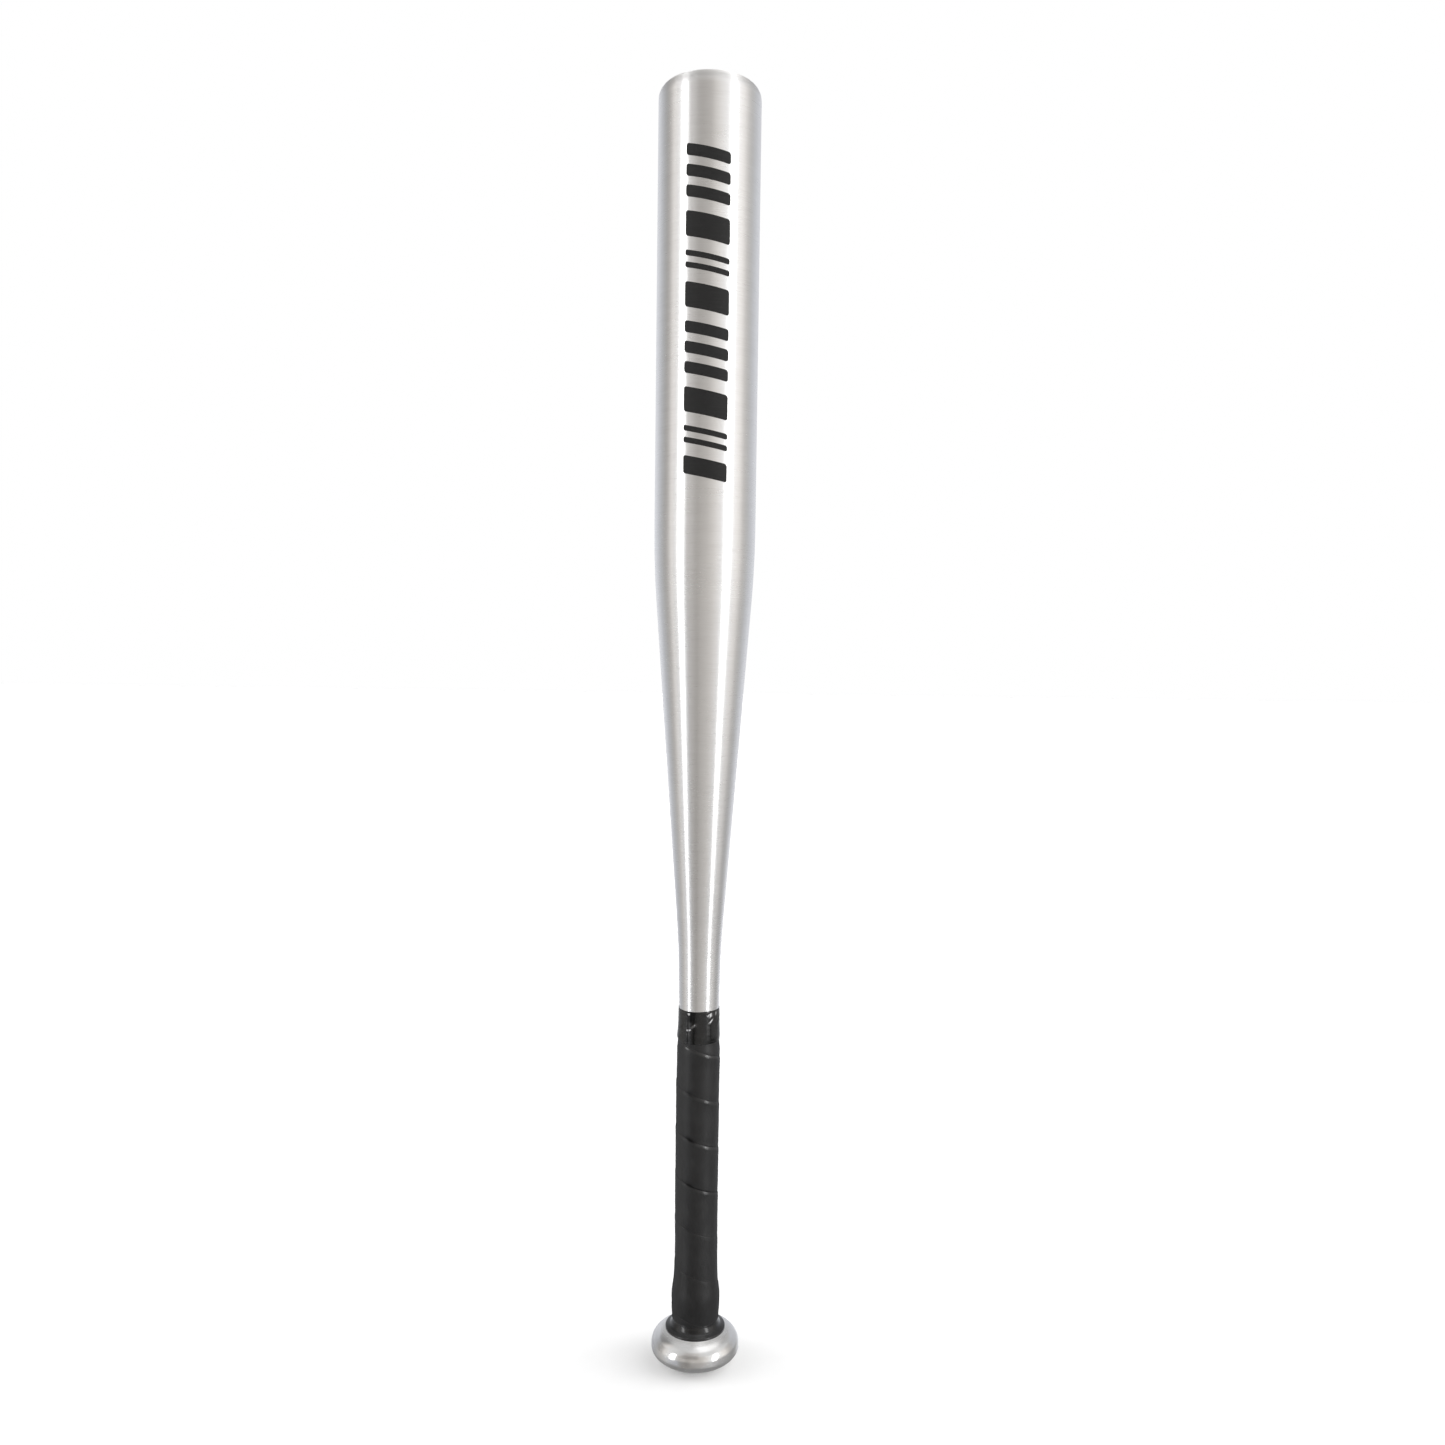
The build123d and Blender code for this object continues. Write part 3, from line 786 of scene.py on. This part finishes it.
def make_vinyl():
    count = int(math.ceil((FILM_END - FILM_START) / (TAU / 300)))
    rings, painted_shades, shines = [], [], []
    for i in range(count + 1):
        turn = FILM_START + (FILM_END - FILM_START) * i / count
        azimuth = math.fmod(turn, TAU)
        if azimuth > math.pi:
            azimuth -= TAU
        share = (turn - FILM_START) / (FILM_END - FILM_START)
        top = interp(share, FILM_TOP) + 0.12 * wander(turn * 1.3, 0, seed=12.0)
        bottom = top - interp(share, FILM_WIDTH)
        # layers beneath: none on the first turn, then one more each turn
        layers = sum(smoothstep(turn, FILM_START + n * TAU - 0.10, FILM_START + n * TAU + 0.04)
                     for n in (1, 2))
        lift = layers * (VINYL_T + GAP_BETWEEN)
        # the cut end lifts a little
        lift += 0.10 * smoothstep(turn, FILM_END - 0.10, FILM_END)

        def film_inside(z):
            return interp(z, UNDER_VINYL) + GAP_UNDER + lift + vinyl_relief(azimuth, z)

        ring = []
        for z in np.linspace(top, bottom, FILM_ROWS_OUT):
            edge = min(top - z, z - bottom)
            round_off = 0.05 * (1 - smoothstep(edge, 0.0, 0.25))
            ring.append(place(azimuth, film_inside(z) + VINYL_T - round_off, z))
            painted_shade, shine = vinyl_marks(azimuth, z, turn, bottom)
            painted_shades.append(painted_shade)
            shines.append(shine)
        for z in reversed(np.linspace(top, bottom, FILM_ROWS_IN)):
            ring.append(place(azimuth, film_inside(z), z))
        painted_shades += [0.0] * FILM_ROWS_IN
        shines += [0.0] * FILM_ROWS_IN
        rings.append(ring)
    return solid_of_rings("grip_finish_wrap", rings, sharp_deg=50,
                          marks={"painted_shade": painted_shades, "shine": shines})


finish = make_vinyl()
finish.data.materials.append(vinyl)
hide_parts("grip_finish_tape")
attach(finish, "root")

# the wraps, collar and weld are left out of reflections, which keeps the knob's crown clear
for ob in (grip, finish, nodes["knob_collar"], nodes["grip_underlay"], nodes["knob_weld"]):
    ob.visible_glossy = False


# ------------------------------------------------------------------ barrel graphic
# Slanted bars of thin film printed along the barrel's front.
BAR_HALF = 13.7                # half width round the barrel
BAR_SLANT = 0.20               # drop per mm towards +X
BAR_R_IN, BAR_R_OUT = BARREL_R + 0.004, BARREL_R + 0.045
# (height of the top edge at the front, length along the bat)
BARS = [
    (765.5, 7.0), (753.5, 7.0), (741.5, 7.0), (726.5, 15.0), (703.5, 3.4), (696.5, 3.4),
    (685.0, 15.0), (662.0, 7.0), (650.0, 7.0), (638.0, 7.0), (623.0, 15.0),
    (600.0, 3.4), (593.0, 3.4), (582.0, 11.0),
]


def bar_rings(z_top, length):
    """Four-cornered sections across one round-cornered bar."""
    corner = min(1.6, length * 0.32)
    inset = corner * (1 - np.cos(np.linspace(0, math.pi / 2, 7)))
    flat = BAR_HALF - corner
    rings = []
    for s in np.unique(np.concatenate([
            -BAR_HALF + inset, np.linspace(-BAR_HALF + corner, flat, 34), BAR_HALF - inset])):
        over = max(0.0, abs(s) - flat)
        pull = corner - math.sqrt(max(0.0, corner * corner - over * over))
        middle = z_top - length / 2 - BAR_SLANT * s
        high, low = middle + length / 2 - pull, middle - length / 2 + pull
        azimuth = s / BARREL_R
        rings.append([place(azimuth, BAR_R_OUT, high), place(azimuth, BAR_R_OUT, low),
                      place(azimuth, BAR_R_IN, low), place(azimuth, BAR_R_IN, high)])
    return rings


def make_graphic():
    verts, faces = [], []
    for z_top, length in BARS:
        rings = bar_rings(z_top, length)
        first = len(verts)
        verts += [p for ring in rings for p in ring]
        faces += join_rings(rings, first)
        last = len(verts) - 4
        faces.append((first + 3, first + 2, first + 1, first))
        faces.append((last, last + 1, last + 2, last + 3))
    return add_mesh("barrel_graphic", verts, faces, sharp_deg=30)


graphic = make_graphic()
graphic.data.materials.append(ink)
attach(graphic, "root")


# ------------------------------------------------------------------ floor and top light
def make_floor():
    half = 9.0   # metres
    me = bpy.data.meshes.new("studio_floor")
    corners = [(-half, -half, 0), (half, -half, 0), (half, half, 0), (-half, half, 0)]
    me.from_pydata(corners, [], [(0, 1, 2, 3)])
    ob = bpy.data.objects.new("studio_floor", me)
    scene.collection.objects.link(ob)
    me.materials.append(floor_paper())
    ob.visible_glossy = False
    return ob


def make_top_light():
    """Weak overhead softbox, slightly in front, aimed at the bat's foot."""
    position, target = Vector((0.1, -0.25, 1.9)), Vector((0, 0, 0.1))
    light = bpy.data.lights.new("top_softbox", "AREA")
    light.shape = "RECTANGLE"
    light.size, light.size_y = 1.6, 1.2
    light.energy = 0.3
    ob = bpy.data.objects.new("top_softbox", light)
    ob.location = position
    ob.rotation_mode = "QUATERNION"
    ob.rotation_quaternion = (target - position).to_track_quat("-Z", "Y")
    scene.collection.objects.link(ob)
    ob.visible_glossy = False
    ob.visible_camera = False


make_floor()
make_top_light()

# ------------------------------------------------------------------ world
# White to the camera, an even soft dome to matt surfaces, and a studio of two tall
# softboxes, side walls, a bright ceiling and a grey ground to glossy ones.
NEUTRAL, WARM, WARMER = (1, 1, 1), (1.0, 0.964, 0.930), (1.0, 0.955, 0.905)
COOL = (0.968, 0.990, 1.045)
STRIP_BRIGHTNESS = 4.2
STRIP_SKEW = 0.16   # degrees of azimuth per degree of elevation

# Rings of the studio: (azimuth in degrees, brightness, tint where not neutral)
GROUND = [
    (-180, 0.30), (-152, 0.32), (-130, 0.36), (-100, 0.36), (-78, 0.37), (-56, 0.43),
    (-34, 0.36, WARM), (-8, 0.36, WARM), (12, 0.41), (30, 0.47), (48, 0.50), (64, 0.45),
    (85, 0.39), (110, 0.35), (135, 0.36), (180, 0.30)]
SKIRT = [
    (-180, 0.80, COOL), (-158, 0.62, COOL), (-136, 0.48, COOL), (-112, 0.52),
    (-97, 0.58, WARM), (-80, 0.66), (-62, 0.62, COOL), (-45, 0.57, COOL), (-38, 0.40),
    (-28, 0.33, WARM), (-16, 0.31, WARMER), (-7, 0.43, WARM), (8, 0.50, WARM),
    (24, 0.56, WARM), (41, 0.62), (53, 0.55), (81, 0.46), (97, 0.40), (118, 0.36),
    (136, 0.55), (150, 0.84, COOL), (180, 0.80, COOL)]
WALLS = [
    (-180, 0.77, COOL), (-158, 0.80, COOL), (-140, 0.72, COOL), (-124, 0.56, COOL),
    (-110, 0.45), (-101, 0.41, WARM), (-92, 0.54, WARM), (-83, 0.92, WARM), (-66, 0.86),
    (-48, 0.80), (-41, 0.60, WARM), (-28, 0.64, WARM), (-17, 0.50, WARMER),
    (-6, 0.60, WARMER), (6, 0.65, WARMER), (18, 0.71, WARMER), (29, 0.90, WARM), (41, 1.02),
    (66, 1.12), (79, 1.10, WARM), (88, 0.88, WARM), (98, 0.61, WARM), (112, 0.54),
    (126, 0.62, COOL), (145, 0.72, COOL), (180, 0.77, COOL)]
UPPER = [
    (-180, 0.60), (-150, 0.44), (-132, 0.34), (-117, 0.27), (-106, 0.52, WARM),
    (-97, 0.88, WARM), (-78, 0.88), (-58, 0.82), (-40, 0.74), (-26, 0.60, WARM),
    (-8, 0.58, WARM), (8, 0.73, WARM), (26, 0.86), (60, 0.95), (78, 1.02), (97, 0.84),
    (118, 0.58), (140, 0.56), (155, 0.50), (180, 0.60)]
CEILING = [
    (-180, 0.66), (-140, 0.74), (-100, 0.72), (-60, 0.75), (-30, 0.76), (-8, 0.84),
    (10, 1.02), (26, 1.24), (42, 1.38), (100, 1.38), (120, 1.20), (140, 0.95), (160, 0.74),
    (180, 0.66)]
# the two softboxes: (azimuth in degrees, share of full brightness)
STRIPS = [(-63.5, 0), (-61, 1.0), (-53.5, 1.0), (-51, 0),
          (46.5, 0), (49, 1.0), (58.5, 1.0), (61, 0)]


def tone(brightness, tint=NEUTRAL):
    return tuple(brightness * channel for channel in tint)


def share_of_turn(deg):
    """Azimuth of -180..180 degrees as 0..1."""
    return (deg + 180.0) / 360.0


def ring_colour(g, azimuth, stops):
    return g.ramp(azimuth, [(share_of_turn(deg), tone(*light)) for deg, *light in stops])


def studio_reflection(g, direction):
    """What glossy surfaces see."""
    dx, dy, dz = direction
    azimuth = g.math("ARCTAN2", dx, dy * -1.0) / TAU + 0.5
    elevation = g.math("ARCSINE", dz) * (180 / math.pi)
    # rings from the ground up, each blending in over a range of elevation in degrees
    studio = tone(0.30)
    for stops, over in [(GROUND, (-64.0, -42.0)), (SKIRT, (-36.0, -26.0)),
                        (WALLS, (-17.0, -7.0)), (UPPER, (20.0, 34.0))]:
        studio = g.mix(g.remap(elevation, over), studio, ring_colour(g, azimuth, stops))
    # the camera's side is darker just above the horizon
    dark = (g.band(azimuth, rise=(share_of_turn(-38), share_of_turn(-24)),
                   fall=(share_of_turn(2), share_of_turn(18)))
            * g.band(elevation, rise=(4.0, 12.0), fall=(26.0, 40.0)))
    studio = g.mix(dark * 0.62, studio, tone(0.28, (1.0, 0.95, 0.90)))
    studio = g.mix(g.remap(elevation, over=(46.0, 62.0)), studio,
                   ring_colour(g, azimuth, CEILING))
    # each softbox stands a little askew
    strips = ring_colour(g, azimuth - elevation * (STRIP_SKEW / 360.0), STRIPS)
    window = g.band(elevation, rise=(-18.0, -8.0), fall=(16.0, 28.0))
    strips = g.vector_math("SCALE", {0: strips, 3: window * STRIP_BRIGHTNESS})
    return g.vector_math("ADD", {0: studio, 1: strips})


def matt_dome(g, direction):
    """What matt surfaces see: low and broad, most from the sides, with a little more from
    behind the bat (+Y) and from +X."""
    dx, dy, dz = direction
    side_spread = 0.45
    low = 1.0 - dz
    sides = g.math("EXPONENT", g.math("POWER", dy / side_spread, 2.0) * -1.0)
    dome = sides * 4.60 + low * 2.20
    dome = dome + g.math("MAXIMUM", dy, 0.0) * 0.95
    dome = low * (dome + 0.25)
    dome = dome + g.math("MAXIMUM", dx, 0.0) * 0.83
    return g.combine(dome, dome, dome)


def make_world():
    world = bpy.data.worlds.new("studio")
    scene.world = world
    world.use_nodes = True
    world.cycles.sampling_method = "NONE"
    g = Graph(world.node_tree)
    output = g.add("ShaderNodeOutputWorld")
    direction = g.split(g.value("ShaderNodeTexCoord", "Generated"))
    ray = g.add("ShaderNodeLightPath").outputs
    colour = g.mix(Value(g, ray["Is Glossy Ray"]), matt_dome(g, direction),
                   studio_reflection(g, direction))
    colour = g.mix(Value(g, ray["Is Camera Ray"]), colour, tone(1.0))
    background = g.value("ShaderNodeBackground", inputs={"Color": colour, "Strength": 1.0})
    g.feed(output.inputs[0], background)


make_world()
scene.view_settings.view_transform = "Standard"
scene.view_settings.look = "None"
scene.view_settings.exposure = 0.0
scene.view_settings.gamma = 1.0


# ------------------------------------------------------------------ camera
def make_camera():
    """In front of the bat, looking along +Y, tipped down and rolled slightly."""
    position = (0.0127, -0.82224, 0.47889)
    pitch, roll = math.radians(4.06), math.radians(0.77)
    cam = bpy.data.cameras.new("camera")
    cam.sensor_fit = "HORIZONTAL"
    cam.sensor_width = 36.0
    cam.lens = 32.265
    cam.clip_start, cam.clip_end = 0.01, 50.0
    ob = bpy.data.objects.new("camera", cam)
    scene.collection.objects.link(ob)
    forward = Vector((0, math.cos(pitch), -math.sin(pitch)))
    level_right = Vector((1, 0, 0))
    level_up = Vector((0, math.sin(pitch), math.cos(pitch)))
    right = level_right * math.cos(roll) + level_up * math.sin(roll)
    up = level_up * math.cos(roll) - level_right * math.sin(roll)
    rotation = Matrix((right, up, -forward)).transposed()
    ob.matrix_world = Matrix.Translation(position) @ rotation.to_4x4()
    scene.camera = ob


make_camera()
